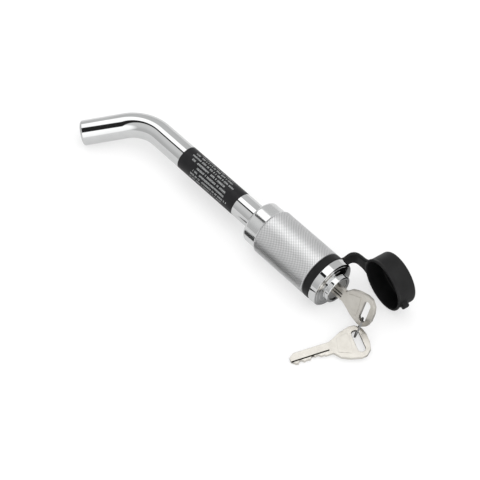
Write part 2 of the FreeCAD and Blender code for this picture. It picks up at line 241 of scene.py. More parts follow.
def chromeMaterial(name="polishedChrome", color=(0.565, 0.57, 0.57), roughness=(0.02, 0.07)):
    material, tree, shader = newMaterial(name, color, 1.0, roughness[0])
    cloud = objectNoise(tree, 60.0)
    scratches = objectNoise(tree, 900.0, 2.0, (0.05, 1.0, 1.0))
    wear = mathNode(tree, "MULTIPLY", cloud, scratches)
    tree.links.new(spread(tree, wear, *roughness, 0.12, 0.42), shader.inputs["Roughness"])
    dull = tuple(channel * 0.9 for channel in color)
    shade = colorMix(tree, spread(tree, cloud, 0.0, 1.0), color, dull)
    tree.links.new(shade, shader.inputs["Base Color"])
    addBump(tree, shader, objectNoise(tree, 45.0, 1.0), 0.00004, 0.5)
    return material


# painted shade: radii over which the knurl's colour goes from dark grey in the hollows to the satin
# tone at the crests
knurlPaintedShade = {
    "hollow": 0.01478,  # distance from the axis in metres
    "crest": 0.01518,
}


def satinMaterial():
    material, tree, shader = newMaterial("satinSteel", (0.60, 0.605, 0.605), 1.0, 0.38)
    coordinates = addNode(tree, "TexCoord")
    split = addNode(tree, "SeparateXYZ")
    tree.links.new(coordinates.outputs["Object"], split.inputs[0])
    square = mathNode(tree, "MULTIPLY", split.outputs["Y"], split.outputs["Y"])
    square = mathNode(tree, "MULTIPLY_ADD", split.outputs["Z"], split.outputs["Z"], square)
    radius = mathNode(tree, "SQRT", square)
    height = spread(tree, radius, 0.0, 1.0, knurlPaintedShade["hollow"], knurlPaintedShade["crest"])
    grain = objectNoise(tree, 2600.0, 2.0)
    tree.links.new(spread(tree, grain, 0.34, 0.42), shader.inputs["Roughness"])
    cloud = colorMix(tree, spread(tree, objectNoise(tree, 80.0), 0.0, 1.0),
                     (0.93, 0.935, 0.935), (0.86, 0.865, 0.865))
    # painted shade: the knurl's hollows are coloured dark grey, lightening towards the crests
    tree.links.new(colorMix(tree, height, (0.26, 0.26, 0.265), cloud), shader.inputs["Base Color"])
    addBump(tree, shader, grain, 0.00001, 0.4)
    return material


def rubberMaterial():
    material, tree, shader = newMaterial("blackRubber", (0.005, 0.005, 0.0053), 0.0, 0.5)
    shader.inputs["Specular IOR Level"].default_value = 0.17
    cloud = objectNoise(tree, 120.0)
    grain = objectNoise(tree, 3500.0, 4.0)
    shade = colorMix(tree, spread(tree, cloud, 0.0, 1.0),
                     (0.005, 0.005, 0.0052), (0.010, 0.010, 0.0103))
    tree.links.new(shade, shader.inputs["Base Color"])
    tree.links.new(spread(tree, grain, 0.42, 0.62), shader.inputs["Roughness"])
    addBump(tree, shader, grain, 0.00003, 0.6)
    return material


def nickelMaterial():
    material, tree, shader = newMaterial("tumbledNickel", (0.56, 0.53, 0.49), 1.0, 0.32)
    cloud = objectNoise(tree, 180.0)
    grain = objectNoise(tree, 2200.0, 3.0)
    tone = colorMix(tree, spread(tree, cloud, 0.0, 1.0), (0.56, 0.54, 0.50), (0.49, 0.47, 0.43))
    recess = addNode(tree, "Attribute", attribute_name="recess")  # 1 on the grooves' floors, which get a painted shade
    # painted shade: the groove floors are coloured near black
    shaded = colorMix(tree, recess.outputs["Fac"], tone, (0.05, 0.047, 0.04))
    tree.links.new(shaded, shader.inputs["Base Color"])
    tree.links.new(spread(tree, grain, 0.26, 0.42), shader.inputs["Roughness"])
    addBump(tree, shader, grain, 0.00002, 0.5)
    return material


def machinedMaterial(name, color, roughness):
    material, tree, shader = newMaterial(name, color, 1.0, roughness)
    rings = objectNoise(tree, 1800.0, 2.0, (1.0, 0.02, 0.02))
    varied = spread(tree, rings, roughness * 0.7, roughness * 1.3)
    tree.links.new(varied, shader.inputs["Roughness"])
    dark = tuple(channel * 0.82 for channel in color)
    tree.links.new(colorMix(tree, spread(tree, objectNoise(tree, 150.0), 0.0, 1.0), color, dark),
                   shader.inputs["Base Color"])
    addBump(tree, shader, rings, 0.00002, 0.5)
    return material


labelPrint = {
    "rowAngle": 0.32,  # radians between rows
    "rows": 3.5,  # rows each side of the middle
    "middle": 2.15,  # angle of the block's middle, from +Y towards +Z
    "character": 0.00085,
    "start": -0.0605,
    "end": -0.0205,
}


def labelMaterial():
    material, tree, shader = newMaterial("labelFilm", (0.01, 0.01, 0.011), 0.0, 0.45)
    spec = labelPrint
    coordinates = addNode(tree, "TexCoord")
    turnToBlock = addNode(tree, "Mapping", in_Rotation=(-spec["middle"], 0.0, 0.0))
    split = addNode(tree, "SeparateXYZ")
    tree.links.new(coordinates.outputs["Object"], turnToBlock.inputs["Vector"])
    tree.links.new(turnToBlock.outputs["Vector"], split.inputs[0])
    along = split.outputs["X"]
    angle = mathNode(tree, "ARCTAN2", split.outputs["Z"], split.outputs["Y"])
    row = mathNode(tree, "DIVIDE", angle, spec["rowAngle"])
    row = mathNode(tree, "ADD", row, 0.5)
    rowIndex = mathNode(tree, "FLOOR", row)
    rowShare = mathNode(tree, "FRACT", row)
    cell = mathNode(tree, "DIVIDE", along, spec["character"])
    cellIndex = mathNode(tree, "FLOOR", cell)
    cellShare = mathNode(tree, "FRACT", cell)

    def randomAt(first, second, seed):
        combine = addNode(tree, "CombineXYZ")
        tree.links.new(first, combine.inputs["X"])
        tree.links.new(second, combine.inputs["Y"])
        combine.inputs["Z"].default_value = seed
        white = addNode(tree, "TexWhiteNoise")
        tree.links.new(combine.outputs[0], white.inputs["Vector"])
        return white.outputs["Value"]

    def inside(value, low, high):
        above = mathNode(tree, "GREATER_THAN", value, low)
        below = mathNode(tree, "LESS_THAN", value, high)
        return mathNode(tree, "MULTIPLY", above, below)

    stroke = mathNode(tree, "GREATER_THAN", objectNoise(tree, 2600.0, 2.0, (1.0, 1.4, 1.4)), 0.44)
    printed = mathNode(tree, "GREATER_THAN", randomAt(cellIndex, rowIndex, 1.0), 0.16)
    zero = mathNode(tree, "MULTIPLY", rowIndex, 0.0)
    ragged = randomAt(zero, rowIndex, 2.0)
    rowStart = mathNode(tree, "MULTIPLY_ADD", ragged, 0.010, spec["start"])
    rowEnd = mathNode(tree, "MULTIPLY_ADD", randomAt(zero, rowIndex, 3.0), -0.009, spec["end"])
    lengthMask = mathNode(tree, "MULTIPLY", mathNode(tree, "GREATER_THAN", along, rowStart),
                          mathNode(tree, "LESS_THAN", along, rowEnd))
    mask = inside(rowShare, 0.26, 0.74)
    for part in (inside(cellShare, 0.10, 0.86), stroke, printed, lengthMask,
                 inside(row, -spec["rows"], spec["rows"])):
        mask = mathNode(tree, "MULTIPLY", mask, part)
    film = colorMix(tree, spread(tree, objectNoise(tree, 90.0), 0.0, 1.0),
                    (0.007, 0.007, 0.008), (0.014, 0.014, 0.015))
    tree.links.new(colorMix(tree, mask, film, (0.34, 0.35, 0.35)), shader.inputs["Base Color"])
    tree.links.new(spread(tree, objectNoise(tree, 400.0), 0.38, 0.5), shader.inputs["Roughness"])
    shader.inputs["Specular IOR Level"].default_value = 0.16
    addBump(tree, shader, objectNoise(tree, 300.0), 0.00003, 0.5)
    return material


def floorMaterial():
    material, tree, shader = newMaterial("paleFloor", (0.4, 0.4, 0.4), 0.0, 0.7)
    tree.links.new(colorMix(tree, objectNoise(tree, 6.0), (0.41, 0.41, 0.41), (0.39, 0.39, 0.39)),
                   shader.inputs["Base Color"])
    shader.inputs["Emission Color"].default_value = (1.0, 1.0, 1.0, 1.0)
    shader.inputs["Emission Strength"].default_value = 0.55  # lit from below, so shadows stay faint
    return material


chrome = chromeMaterial()
turnedChrome = chromeMaterial("turnedChrome", (0.60, 0.605, 0.605), (0.12, 0.2))
ringChrome = chromeMaterial("ringSteel", (0.24, 0.24, 0.238), (0.10, 0.22))
satin = satinMaterial()
rubber = rubberMaterial()
nickel = nickelMaterial()
labelFilm = labelMaterial()
machined = machinedMaterial("machinedSteel", (0.55, 0.55, 0.56), 0.3)
bearing = machinedMaterial("bearingSteel", (0.70, 0.71, 0.73), 0.12)
plugNickel = machinedMaterial("plugNickel", (0.50, 0.495, 0.48), 0.22)
brass = machinedMaterial("waferBrass", (0.78, 0.60, 0.30), 0.3)
print("materials ready")


def arcPoints(x, r, radius, start, end, steps):
    points = []
    for step in range(steps + 1):
        turn = math.radians(start + (end - start) * step / steps)
        points.append((x + radius * math.cos(turn), r + radius * math.sin(turn)))
    return points


def turned(bm, profile, segments):
    verts = [bm.verts.new((x, 0.0, r)) for x, r in profile]
    edges = [bm.edges.new(pair) for pair in zip(verts, verts[1:])]
    bmesh.ops.spin(bm, geom=verts + edges, cent=(0, 0, 0), axis=(1, 0, 0), dvec=(0, 0, 0),
                   angle=math.tau, steps=segments, use_merge=True, use_duplicate=False)
    bmesh.ops.remove_doubles(bm, verts=bm.verts, dist=1e-4)
    bmesh.ops.recalc_face_normals(bm, faces=bm.faces)


def pullRing(bm, edges, shift, centre=None, scale=1.0):
    grown = bmesh.ops.extrude_edge_only(bm, edges=edges)["geom"]
    verts = [item for item in grown if isinstance(item, bmesh.types.BMVert)]
    bmesh.ops.translate(bm, verts=verts, vec=shift)
    if scale != 1.0:
        about = Matrix.Translation(-centre)
        bmesh.ops.scale(bm, verts=verts, vec=(scale, scale, scale), space=about)
    return [item for item in grown if isinstance(item, bmesh.types.BMEdge)]


def closeRing(bm, edges):
    bmesh.ops.edgeloop_fill(bm, edges=edges)


def meshObject(bm, name, place=None):
    if place is not None:
        bmesh.ops.transform(bm, matrix=place, verts=bm.verts)
    bmesh.ops.scale(bm, vec=(mm, mm, mm), verts=bm.verts)
    mesh = bpy.data.meshes.new(name)
    bm.to_mesh(mesh)
    bm.free()
    piece = bpy.data.objects.new(name, mesh)
    bpy.context.scene.collection.objects.link(piece)
    return piece


def applyModifiers(piece):
    bpy.context.view_layer.update()
    finished = piece.evaluated_get(bpy.context.evaluated_depsgraph_get())
    done = bpy.data.meshes.new_from_object(finished)
    piece.modifiers.clear()
    piece.data = done


def smoothShade(piece, angle=32.0):
    for polygon in piece.data.polygons:
        polygon.use_smooth = True
    piece.data.set_sharp_from_angle(angle=math.radians(angle))
    weighted = piece.modifiers.new("weightedNormal", "WEIGHTED_NORMAL")  # flats beside rounds
    weighted.mode = "FACE_AREA"
    weighted.keep_sharp = True


def finishPiece(piece, material, nodes, body=None):
    piece.data.materials.clear()
    piece.data.materials.append(material)
    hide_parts(*nodes)
    if body:
        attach(piece, body)
    print(piece.name, "has", len(piece.data.polygons), "faces")


def boxMm(node):
    low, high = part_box(node)
    return Vector(low) / mm, Vector(high) / mm


pin = {
    "radius": 7.9375,
    "bendStart": -89.1,
    "bendRadius": 28.4,
    "bendAngle": 52.3,
    "bendRoll": -166.9,
    "bentLength": 27.2,
    "bendSteps": 40,
    "tipRound": 1.55,
    "lockRadius": 7.75,
    "lockEnd": [(1.4, 0.0), (0.9, 0.25), (0.15, 1.0), (0.0, 1.4)],  # back from the end, and depth
    "recess": 0.2,
    "grooveX": 22.5,
    "grooveRadius": 2.431,
    "grooveCentre": 8.5,
    "grooveSteps": 12,
    "tipSteps": 6,
    "segments": 96,
}


def buildPin():
    bm = bmesh.new()
    toX = Matrix.Rotation(math.radians(90), 4, "Y")
    start = Vector((pin["bendStart"], 0, 0))
    full, lock = pin["radius"], pin["lockRadius"]
    ring = bmesh.ops.create_circle(bm, radius=full, segments=pin["segments"],
                                   matrix=Matrix.Translation(start) @ toX)["verts"]
    first = list({edge for vert in ring for edge in vert.link_edges})
    labelLow, labelHigh = boxMm("pin_label")
    pinEnd = boxMm("pin_shaft")[1].x

    floor = full - pin["recess"]
    rings = [(labelLow.x, full), (labelLow.x, floor), (labelHigh.x, floor), (labelHigh.x, full),
             (0.0, full), (0.0, lock)]
    halfGroove = math.sqrt(pin["grooveRadius"] ** 2 - (pin["grooveCentre"] - lock) ** 2)
    for step in range(pin["grooveSteps"] + 1):
        offset = halfGroove * math.sin(math.pi * (step / pin["grooveSteps"] - 0.5))
        depth = math.sqrt(pin["grooveRadius"] ** 2 - offset ** 2)
        rings.append((pin["grooveX"] + offset, pin["grooveCentre"] - depth))
    rings += [(pinEnd - back, lock - depth) for back, depth in pin["lockEnd"]]
    edges = first
    lastX, lastRadius = start.x, full
    for x, radius in rings:
        along = Vector((x - lastX, 0, 0))
        edges = pullRing(bm, edges, along, Vector((x, 0, 0)), radius / lastRadius)
        lastX, lastRadius = x, radius
    closeRing(bm, edges)

    roll = math.radians(pin["bendRoll"])
    turn = math.radians(pin["bendAngle"])
    side = Vector((0, math.cos(roll), math.sin(roll)))
    axis = Vector((-1, 0, 0)).cross(side)
    bent = bmesh.ops.spin(bm, geom=first, cent=start + side * pin["bendRadius"], axis=axis,
                          dvec=(0, 0, 0), angle=turn, steps=pin["bendSteps"],
                          use_merge=False, use_duplicate=False)
    edges = [item for item in bent["geom_last"] if isinstance(item, bmesh.types.BMEdge)]
    direction = Vector((-math.cos(turn), 0, 0)) + side * math.sin(turn)
    sweep = Vector((-math.sin(turn), 0, 0)) + side * (1 - math.cos(turn))
    straight = pin["bentLength"] - pin["tipRound"]
    centre = start + sweep * pin["bendRadius"] + direction * straight
    edges = pullRing(bm, edges, direction * straight)
    lastRadius, lastForward = full, 0.0
    for step in range(1, pin["tipSteps"] + 1):
        angle = math.radians(90 * step / pin["tipSteps"])
        radius = full - pin["tipRound"] * (1 - math.cos(angle))
        forward = pin["tipRound"] * math.sin(angle)
        along = direction * (forward - lastForward)
        centre = centre + along
        edges = pullRing(bm, edges, along, centre, radius / lastRadius)
        lastRadius, lastForward = radius, forward
    closeRing(bm, edges)
    bmesh.ops.recalc_face_normals(bm, faces=bm.faces)
    piece = meshObject(bm, "pinShaft")
    smoothShade(piece)
    finishPiece(piece, chrome, ["pin_shaft"], "pin")


label = {
    "margin": 0.01,  # stands just under the pin's surface
    "edge": 0.04,
}


def buildLabel():
    low, high = boxMm("pin_label")
    inner = pin["radius"] - pin["recess"]
    outer = pin["radius"] - label["margin"]
    edge = label["edge"]
    profile = [(low.x, inner), (low.x, outer - edge), (low.x + edge, outer), (high.x - edge, outer),
               (high.x, outer - edge), (high.x, inner), (low.x, inner)]
    bm = bmesh.new()
    turned(bm, profile, pin["segments"])
    piece = meshObject(bm, "pinLabel")
    smoothShade(piece)
    finishPiece(piece, labelFilm, ["pin_label"], "pin")


collar = {
    "bore": 7.83,
    "mouthChamfer": 0.6,
    "radius": 14.08,
    "round": 2.2,
    "end": 10.4,
    "lip": (0.25, 0.06),  # width and rise of the edge at the end
    "shoulder": (11.0, 14.55),
    "spigot": (13.0, 13.59),
    "segments": 160,
}


def buildCollar():
    spec = collar
    bore, mouth, size = spec["bore"], spec["mouthChamfer"], spec["round"]
    shoulderX, shoulderRadius = spec["shoulder"]
    spigotX, spigotRadius = spec["spigot"]
    lipWidth, lipRise = spec["lip"]
    profile = [(mouth, bore), (0.0, bore + mouth)]
    profile += arcPoints(size, spec["radius"] - size, size, 180, 90, 14)
    profile += [(spec["end"] - lipWidth, spec["radius"]), (spec["end"], spec["radius"] + lipRise),
                (shoulderX, shoulderRadius), (shoulderX, spigotRadius), (spigotX, spigotRadius),
                (spigotX, bore), (mouth, bore)]
    bm = bmesh.new()
    turned(bm, profile, spec["segments"])
    piece = meshObject(bm, "headCollar")
    smoothShade(piece)
    finishPiece(piece, turnedChrome, ["head_barrel"], "head")


knurl = {
    "columns": 132,  # points and hollows round the barrel
    "start": 11.6,
    "end": 51.7,
    "depth": 0.44,
    "bore": 13.6,
    "shoulder": 0.62,  # depth of the chamfer at each end
    "edge": (0.25, 0.3),  # width and depth beside the first and last rows
    "clearance": 0.01,
}


def buildKnurl():
    high = boxMm("head_barrel")[1]
    spec = knurl
    edgeWidth, edgeDepth = spec["edge"]
    crest = high.z - spec["clearance"]
    middle = crest - spec["depth"] / 2
    segments = spec["columns"] * 2
    pitch = math.tau * crest / segments
    rows = 2 * round((spec["end"] - spec["start"]) / pitch / 2)
    rowStep = (spec["end"] - spec["start"]) / rows
    first = collar["shoulder"][0]
    rings = [(first, crest - spec["shoulder"]), (spec["start"] - edgeWidth, crest - edgeDepth)]
    rings += [(spec["start"] + rowStep * row, middle) for row in range(rows + 1)]
    rings += [(spec["end"] + edgeWidth, crest - edgeDepth), (high.x, crest - spec["shoulder"]),
              (high.x, spec["bore"]), (first, spec["bore"])]
    bm = bmesh.new()
    facing = Matrix.Translation((first, 0, 0)) @ Matrix.Rotation(math.radians(90), 4, "Y")
    ring = bmesh.ops.create_circle(bm, radius=spec["bore"], segments=segments, matrix=facing)
    edges = list({edge for vert in ring["verts"] for edge in vert.link_edges})
    x, radius = first, spec["bore"]
    for nextX, nextRadius in rings:
        along = Vector((nextX - x, 0, 0))
        edges = pullRing(bm, edges, along, Vector((nextX, 0, 0)), nextRadius / radius)
        x, radius = nextX, nextRadius
    bmesh.ops.remove_doubles(bm, verts=bm.verts, dist=1e-4)
    for vert in bm.verts:
        row = (vert.co.x - spec["start"]) / rowStep
        column = math.atan2(vert.co.z, vert.co.y) / math.tau * segments
        onPoint = round(row) % 2 == 0 and round(column) % 2 == 0
        outside = math.hypot(vert.co.y, vert.co.z) > spec["bore"] + 0.1
        if -0.01 < row < rows + 0.01 and outside and onPoint:
            raised = (round(row) + round(column)) % 4 == 0
            lift = spec["depth"] / 2 if raised else -spec["depth"] / 2
            scale = (middle + lift) / middle
            vert.co.y *= scale
            vert.co.z *= scale
    bmesh.ops.recalc_face_normals(bm, faces=bm.faces)
    piece = meshObject(bm, "knurledBarrel")
    smoothShade(piece, 60.0)
    finishPiece(piece, satin, ["head_barrel"], "head")


housing = {
    "segments": 192,
    "plugBore": 6.41,
    "headBore": 7.26,
    "headStart": 65.2,
    "boss": 9.2,
    "bossFace": 67.6,
    "bossRound": 0.7,
    "face": 64.3,
    "flangeStart": 57.7,
    "rim": 15.2,
    "frontRadius": 14.75,  # the flange's side tapers a little
    "edgeX": 62.7,  # the face slopes from here up to the boss
    "edgeRound": 0.4,
    "backRound": 0.5,
    "mouthChamfer": 0.25,
    "bossFillet": 0.3,
    "ringHalf": 0.1,  # half the width of a fine groove's floor
    "turnedRings": [(11.6, 0.1), (13.5, 0.14)],  # radius and depth of the fine grooves in the face
    "ringFloor": 12.3,
    "spigot": 13.56,
    "spigotEnd": 52.3,
    "start": 38.0,
}


def buildHousing():
    spec = housing
    face, boss, bossRound = spec["face"], spec["boss"], spec["bossRound"]
    mouth, fillet, half = spec["mouthChamfer"], spec["bossFillet"], spec["ringHalf"]
    taper = math.atan2(spec["rim"] - spec["frontRadius"], face - spec["flangeStart"])

    def cornerRadius(x, size):
        return spec["rim"] - (x - spec["flangeStart"]) * math.tan(taper) - size / math.cos(taper)

    frontX = spec["edgeX"] - spec["edgeRound"]
    backX = spec["flangeStart"] + spec["backRound"]
    side = 90 - math.degrees(taper)
    profile = [(spec["headStart"], spec["plugBore"]), (spec["headStart"], spec["headBore"]),
               (spec["bossFace"] - mouth, spec["headBore"]),
               (spec["bossFace"], spec["headBore"] + mouth)]
    profile += arcPoints(spec["bossFace"] - bossRound, boss - bossRound, bossRound, 0, 90, 8)
    profile += arcPoints(face + fillet, boss + fillet, fillet, 270, 180, 4)
    edgeR = cornerRadius(frontX, spec["edgeRound"])
    slope = (face - spec["edgeX"]) / (edgeR - boss - fillet)

    def faceX(radius):
        return face - (radius - boss - fillet) * slope

    for radius, depth in spec["turnedRings"]:
        profile += [(faceX(radius - 2 * half), radius - 2 * half),
                    (faceX(radius - half) - depth, radius - half),
                    (faceX(radius + half) - depth, radius + half),
                    (faceX(radius + 2 * half), radius + 2 * half)]
    profile += arcPoints(frontX, edgeR, spec["edgeRound"], 15, side, 7)
    backR = cornerRadius(backX, spec["backRound"])
    profile += arcPoints(backX, backR, spec["backRound"], side, 180, 6)
    profile += [(spec["flangeStart"], spec["ringFloor"]), (spec["spigotEnd"], spec["ringFloor"]),
                (spec["spigotEnd"], spec["spigot"]), (spec["start"], spec["spigot"]),
                (spec["start"], spec["plugBore"]), (spec["headStart"], spec["plugBore"])]
    bm = bmesh.new()
    turned(bm, profile, spec["segments"])
    piece = meshObject(bm, "lockHousing")
    smoothShade(piece)
    finishPiece(piece, chrome, ["lock_housing"], "head")


boot = {
    "voxel": 0.36,
    "soften": (0.5, 6),  # strength and passes
    "segments": 128,
    "ringRound": 0.8,
    "ringFloor": 12.34,
    "ringCrown": 15.08,
    "strapThickness": 2.0,
    "strapWidth": 9.0,
    "strapX": 55.9,
    "strapY": 24.2,
    "strapTurn": 4.6,
    "flare": 1.9,  # how far each edge of the strap spreads into the cap
    "flareLength": 4.6,
    "strapRoot": 2.2,  # how deep the strap starts in the ring
    "strapFoot": 2.4,
    "footSpread": (0.7, 2.0, 1.2),  # spread, height and reach where it leaves the ring
    "strapEnd": 67.6,
    "blendStart": 0.0578,
    "blendEnd": 0.0660,
    "capRadius": 16.7,
    "capLip": 0.45,
    "lipWidth": 1.6,
    "capWall": 1.4,
    "capDepth": 13.0,
    "capEnd": 1.6,
    "capRound": 1.8,
    "mouthChamfer": 0.25,
    "lipChamfer": 0.3,
    "floorRound": 1.0,
    "mouth": (82.87, 20.05, 1.5),
    "heading": 80.0,
    "tabAngle": -9.0,
    "tabReach": 2.1,
    "tabWidth": 4.2,
    "tabLength": 4.0,
    "tabStart": 2.4,
    "tabRoot": 1.2,  # how deep it starts in the rim
    "tabRound": 1.3,
}


def capPlace():
    turn = Matrix.Rotation(math.radians(boot["heading"]), 4, "Z")
    return Matrix.Translation(boot["mouth"]) @ turn


def tetherRing():
    low, high = boxMm("tether_ring")
    floor, crown, size = boot["ringFloor"], boot["ringCrown"], boot["ringRound"]
    profile = [(low.x, floor), (low.x, crown - size)]
    profile += arcPoints(low.x + size, crown - size, size, 180, 90, 5)
    profile += arcPoints(high.x - size, crown - size, size, 90, 0, 5)
    profile += [(high.x, floor), (low.x, floor)]
    bm = bmesh.new()
    turned(bm, profile, boot["segments"])
    return meshObject(bm, "tetherRing")


def capCup():
    spec = boot
    outer = spec["capRadius"] - spec["capLip"]
    inner = spec["capRadius"] - spec["capWall"]
    depth, end = spec["capDepth"], spec["capEnd"]
    mouth, lip = spec["mouthChamfer"], spec["lipChamfer"]
    size, corner = spec["capRound"], spec["floorRound"]
    profile = [(mouth, inner), (0.0, inner + mouth), (0.0, spec["capRadius"] - lip),
               (lip, spec["capRadius"]), (spec["lipWidth"] - lip, spec["capRadius"]),
               (spec["lipWidth"], outer)]
    profile += arcPoints(depth - size, outer - size, size, 90, 0, 8)
    profile += [(depth, 0.0), (depth - end, 0.0)]
    profile += arcPoints(depth - end - corner, inner - corner, corner, 0, 90, 6)
    profile += [(mouth, inner)]
    bm = bmesh.new()
    turned(bm, profile, spec["segments"])
    return meshObject(bm, "capCup", capPlace())


def capTab():
    spec = boot
    root = spec["tabRoot"]
    low = Vector((spec["tabStart"], -spec["tabWidth"] / 2, spec["capRadius"] - root))
    size = Vector((spec["tabLength"], spec["tabWidth"], spec["tabReach"] + root))
    bm = bmesh.new()
    bmesh.ops.create_cube(bm, size=1.0)
    bmesh.ops.scale(bm, verts=bm.verts, vec=size)
    bmesh.ops.translate(bm, verts=bm.verts, vec=low + size / 2)
    long = [edge for edge in bm.edges if abs((edge.verts[0].co - edge.verts[1].co).x) > 1
            and edge.verts[0].co.z > spec["capRadius"]]
    bmesh.ops.bevel(bm, geom=long, offset=spec["tabRound"], offset_type="OFFSET", affect="EDGES",
                    segments=6, profile=0.5, material=-1)
    swing = Matrix.Rotation(math.radians(90 - spec["tabAngle"]), 4, "X")
    return meshObject(bm, "capTab", capPlace() @ swing)


def strap():
    spec = boot
    half = spec["strapThickness"] / 2
    wide = spec["strapWidth"] / 2
    low = spec["ringCrown"] - spec["strapRoot"]
    bendY = spec["strapY"] - spec["strapTurn"]
    bm = bmesh.new()
    corners = [bm.verts.new((spec["strapX"] + x, low, z)) for x, z in
               ((-half, -wide), (half, -wide), (half, wide), (-half, wide))]
    face = bm.faces.new(corners)

    def pull(face, vec, times):
        for _ in range(times):
            grown = bmesh.ops.extrude_discrete_faces(bm, faces=[face])["faces"]
            face = grown[0]
            bmesh.ops.translate(bm, verts=face.verts, vec=Vector(vec) / times)
        return face

    base = bmesh.ops.extrude_face_region(bm, geom=[face])["geom"]
    top = [item for item in base if isinstance(item, bmesh.types.BMFace)][0]
    bmesh.ops.translate(bm, verts=top.verts, vec=(0, spec["strapFoot"], 0))
    top = pull(top, (0, bendY - low - spec["strapFoot"], 0), 4)
    centre = Vector((spec["strapX"] + spec["strapTurn"], bendY, 0))
    bent = bmesh.ops.spin(bm, geom=[top], cent=centre, axis=(0, 0, -1), dvec=(0, 0, 0),
                          angle=math.radians(90), steps=12, use_merge=False, use_duplicate=False)
    top = [item for item in bent["geom_last"] if isinstance(item, bmesh.types.BMFace)][0]
    endX = spec["strapEnd"]
    top = pull(top, (endX - centre.x, 0, 0), 6)
    flareLength = spec["flareLength"]
    spread, height, reach = spec["footSpread"]
    for vert in bm.verts:
        near = root = 0.0
        if vert.co.y > bendY:
            near = max(0.0, (vert.co.x - (endX - flareLength)) / flareLength)
        if vert.co.x < spec["strapX"] + reach:
            root = max(0.0, 1 - (vert.co.y - spec["ringCrown"]) / height)
        widen = spec["flare"] * near ** 2 + spread * min(root, 1.0) ** 2
        vert.co.z += math.copysign(widen, vert.co.z)
    bmesh.ops.recalc_face_normals(bm, faces=bm.faces)
    return meshObject(bm, "strap")


def buildBoot():
    parts = [tetherRing(), strap(), capCup(), capTab()]
    moulding = parts[0]
    for other in parts[1:]:
        union = moulding.modifiers.new("join", "BOOLEAN")
        union.operation = "UNION"
        union.solver = "EXACT"
        union.object = other
    remesh = moulding.modifiers.new("mould", "REMESH")
    remesh.mode = "VOXEL"
    remesh.voxel_size = boot["voxel"] * mm
    soften = moulding.modifiers.new("soften", "SMOOTH")
    soften.factor, soften.iterations = boot["soften"]
    applyModifiers(moulding)
    for other in parts[1:]:
        bpy.data.objects.remove(other)
    moulding.name = "rubberBoot"
    for polygon in moulding.data.polygons:
        polygon.use_smooth = True
    finishPiece(moulding, rubber, ["tether_ring", "cap_strap", "dust_cap"])
    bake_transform(moulding)


key = {
    "thickness": 2.2,
    "bevel": 0.22,
    "bladeHalf": 3.85,
    "bowStart": 24.8,
    "bowMid": -1.4,  # the bow sits a little to the side of the blade
    "bow": [(28.0, 6.7), (32.8, 9.2), (39.0, 10.95), (42.5, 10.6), (45.8, 7.5), (47.0, 3.0)],
    "bowRound": 2.1,
    "bitting": [(2.4, -3.1), (3.8, -3.5), (4.9, -1.95), (6.0, -1.95), (7.5, -3.3), (8.6, -2.9),
                (9.8, -2.9), (11.0, -3.3), (12.4, -1.75), (13.5, -1.75), (14.3, -2.5),
                (15.1, -2.05), (16.3, -2.05), (17.8, -3.5), (18.5, -3.2), (19.3, -3.2),
                (20.2, -3.85)],
    "slotAt": 41.0,
    "slotWidth": 4.6,
    "slotLength": 15.2,
    "grooves": [(1, -1.45), (-1, -0.4), (-1, 1.6)],  # face, height
    "grooveWidth": 0.95,
    "grooveDepth": 0.7,
    "grooveEnd": 23.3,
    "grooveOver": 2,  # how far the cutter starts before the tip
    # share of the groove depth below which the floor gets painted shade
    "paintedShadeShare": 0.8,
    "tip": (0.0, -0.9, 0.4),
    "tipBack": [(3.0, 3.85, 0.8), (0.0, 1.6, 0.5)],
    "cutRound": 0.3,
    "neckRound": 1.2,
    "pad": [(27.4, -4.6, 0.8), (35.4, -8.2, 0.8), (36.6, -1.0, 0.6), (36.6, 5.9, 0.8),
            (29.6, 4.4, 0.8)],  # raised field
    "padHeight": 0.22,
    "padBevel": 0.12,
    "lockTip": (48.2, 0.0, 0.0),
    "lockRoll": 250.0,
    "spareTip": (77.51, -47.37, -14.08),
    "spareHeading": 66.0,
    "sparePitch": -3.19,
}


def roundedOutline(corners):
    points = []
    count = len(corners)
    for index, (u, v, radius) in enumerate(corners):
        here = Vector((u, v))
        before = Vector(corners[index - 1][:2]) - here
        after = Vector(corners[(index + 1) % count][:2]) - here
        turn = before.angle(after)
        reach = min(radius / math.tan(turn / 2), before.length * 0.48, after.length * 0.48)
        if radius == 0 or reach < 1e-4:
            points.append(here)
            continue
        size = reach * math.tan(turn / 2)
        inward = (before.normalized() + after.normalized()).normalized()
        middle = here + inward * (size / math.sin(turn / 2))
        first = here + before.normalized() * reach - middle
        last = here + after.normalized() * reach - middle
        sweep = first.angle_signed(last)
        for step in range(7):
            points.append(middle + Matrix.Rotation(-sweep * step / 6, 2) @ first)
    return points


def keyLoops():
    spec = key
    half, mid = spec["bladeHalf"], spec["bowMid"]
    corners = [spec["tip"]] + [(u, v, spec["cutRound"]) for u, v in spec["bitting"]]
    corners += [(spec["bowStart"], -half, spec["neckRound"])]
    corners += [(u, mid - wide, spec["bowRound"]) for u, wide in spec["bow"]]
    corners += [(u, mid + wide, spec["bowRound"]) for u, wide in reversed(spec["bow"])]
    corners += [(spec["bowStart"], half, spec["neckRound"])] + spec["tipBack"]
    endRadius = spec["slotWidth"] / 2
    straight = spec["slotLength"] / 2 - endRadius
    slot = []
    for step in range(26):
        angle = math.radians(180 * (step - step // 13) / 12)
        end = straight if step < 13 else -straight
        across = spec["slotAt"] + endRadius * math.cos(angle)
        slot.append(Vector((across, mid + end + endRadius * math.sin(angle))))
    return roundedOutline(corners), slot


